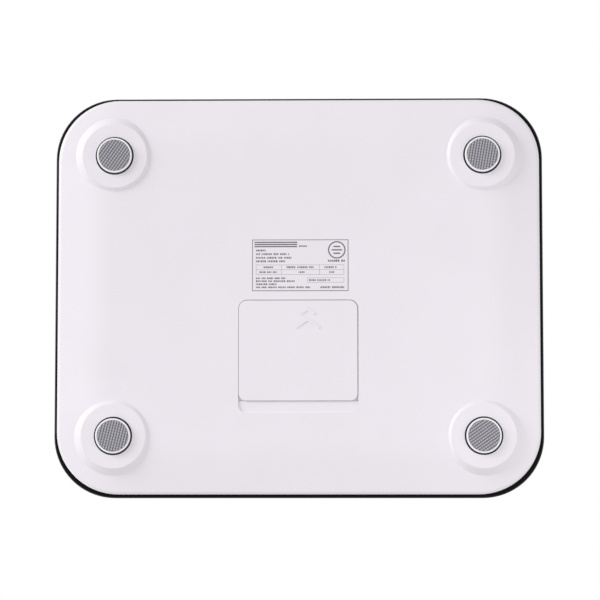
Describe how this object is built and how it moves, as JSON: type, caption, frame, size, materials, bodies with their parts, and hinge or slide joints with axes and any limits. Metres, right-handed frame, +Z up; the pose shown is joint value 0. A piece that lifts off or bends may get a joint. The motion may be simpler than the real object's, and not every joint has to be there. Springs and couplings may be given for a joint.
{
  "type": "digital bathroom scale",
  "caption": "Flat bathroom scale: a rounded glass platform on a white moulded base with sprung rubber-tipped feet at the corners and a battery door underneath.",
  "frame": {"origin": "on the floor, under the middle of the platform", "axes": "+X along the long side of the platform, +Y towards the display end, +Z up from the feet to the glass"},
  "size_m": [0.32, 0.263, 0.025],
  "materials": {
    "platform_glass": "clear tempered glass with a ground edge",
    "black_print": "black ceramic ink fired on the back of the glass",
    "foam_tape": "white double-sided foam tape",
    "white_abs": "fine satin moulded finish",
    "foot_abs": "smooth white moulded finish",
    "grey_rubber": "grey rubber with a cross-hatched face",
    "label_film": "white printed film",
    "cell_steel": "stamped alloy steel",
    "retainer_nylon": "natural moulded finish",
    "gauge_sealant": "white silicone over the strain gauges",
    "screw_steel": "zinc plated",
    "board_laminate": "green solder mask",
    "chip_epoxy": "black sealing compound",
    "component_body": "ceramic and metal bodies",
    "display_glass": "grey-green liquid crystal panel",
    "holder_plastic": "black moulded finish",
    "connector_rubber": "striped conductive rubber",
    "battery_can": "printed sleeve with a plain band",
    "contact_nickel": "nickel-plated spring steel",
    "wire_pvc": "soft insulation"
  },
  "bodies": {
    "base": {"glass_platform": "platform_glass", "glass_backing_print": "black_print", "bonding_tape": "foam_tape", "base_cover": "white_abs", "rating_label": "label_film", "load_cell_front_left": "cell_steel", "cell_retainer_front_left": "retainer_nylon", "cell_wires_front_left": "wire_pvc", "load_cell_front_right": "cell_steel", "cell_retainer_front_right": "retainer_nylon", "cell_wires_front_right": "wire_pvc", "load_cell_rear_left": "cell_steel", "cell_retainer_rear_left": "retainer_nylon", "cell_wires_rear_left": "wire_pvc", "load_cell_rear_right": "cell_steel", "cell_retainer_rear_right": "retainer_nylon", "cell_wires_rear_right": "wire_pvc", "retainer_adhesive_pads": "foam_tape", "strain_gauges": "gauge_sealant", "retainer_screws": "screw_steel", "main_pcb": "board_laminate", "pcb_screws": "screw_steel", "controller_chip": "chip_epoxy", "pcb_components": "component_body", "lcd_panel": "display_glass", "lcd_holder": "holder_plastic", "lcd_connectors": "connector_rubber", "battery_1": "battery_can", "battery_2": "battery_can", "battery_3": "battery_can", "battery_4": "battery_can", "battery_springs": "contact_nickel", "battery_contacts": "contact_nickel", "battery_leads": "wire_pvc"},
    "battery_door": {"battery_door": "white_abs"},
    "foot_front_left": {"foot_cup_front_left": "foot_abs", "foot_pad_front_left": "grey_rubber"},
    "foot_front_right": {"foot_cup_front_right": "foot_abs", "foot_pad_front_right": "grey_rubber"},
    "foot_rear_left": {"foot_cup_rear_left": "foot_abs", "foot_pad_rear_left": "grey_rubber"},
    "foot_rear_right": {"foot_cup_rear_right": "foot_abs", "foot_pad_rear_right": "grey_rubber"}
  },
  "joints": [
    {"name": "battery_door_hinge", "type": "hinge", "parent": "base", "child": "battery_door", "pos_m": [0, -0.003, 0.005], "axis": [1, 0, 0], "range_deg": [0, 70]},
    {"name": "foot_press_front_left", "type": "slide", "parent": "base", "child": "foot_front_left", "axis": [0, 0, 1], "range_m": [0, 0.0005], "stiffness_N_per_m": 1000000, "deforming": ["load_cell_front_left"]},
    {"name": "foot_press_front_right", "type": "slide", "parent": "base", "child": "foot_front_right", "axis": [0, 0, 1], "range_m": [0, 0.0005], "stiffness_N_per_m": 1000000, "deforming": ["load_cell_front_right"]},
    {"name": "foot_press_rear_left", "type": "slide", "parent": "base", "child": "foot_rear_left", "axis": [0, 0, 1], "range_m": [0, 0.0005], "stiffness_N_per_m": 1000000, "deforming": ["load_cell_rear_left"]},
    {"name": "foot_press_rear_right", "type": "slide", "parent": "base", "child": "foot_rear_right", "axis": [0, 0, 1], "range_m": [0, 0.0005], "stiffness_N_per_m": 1000000, "deforming": ["load_cell_rear_right"]}
  ]
}
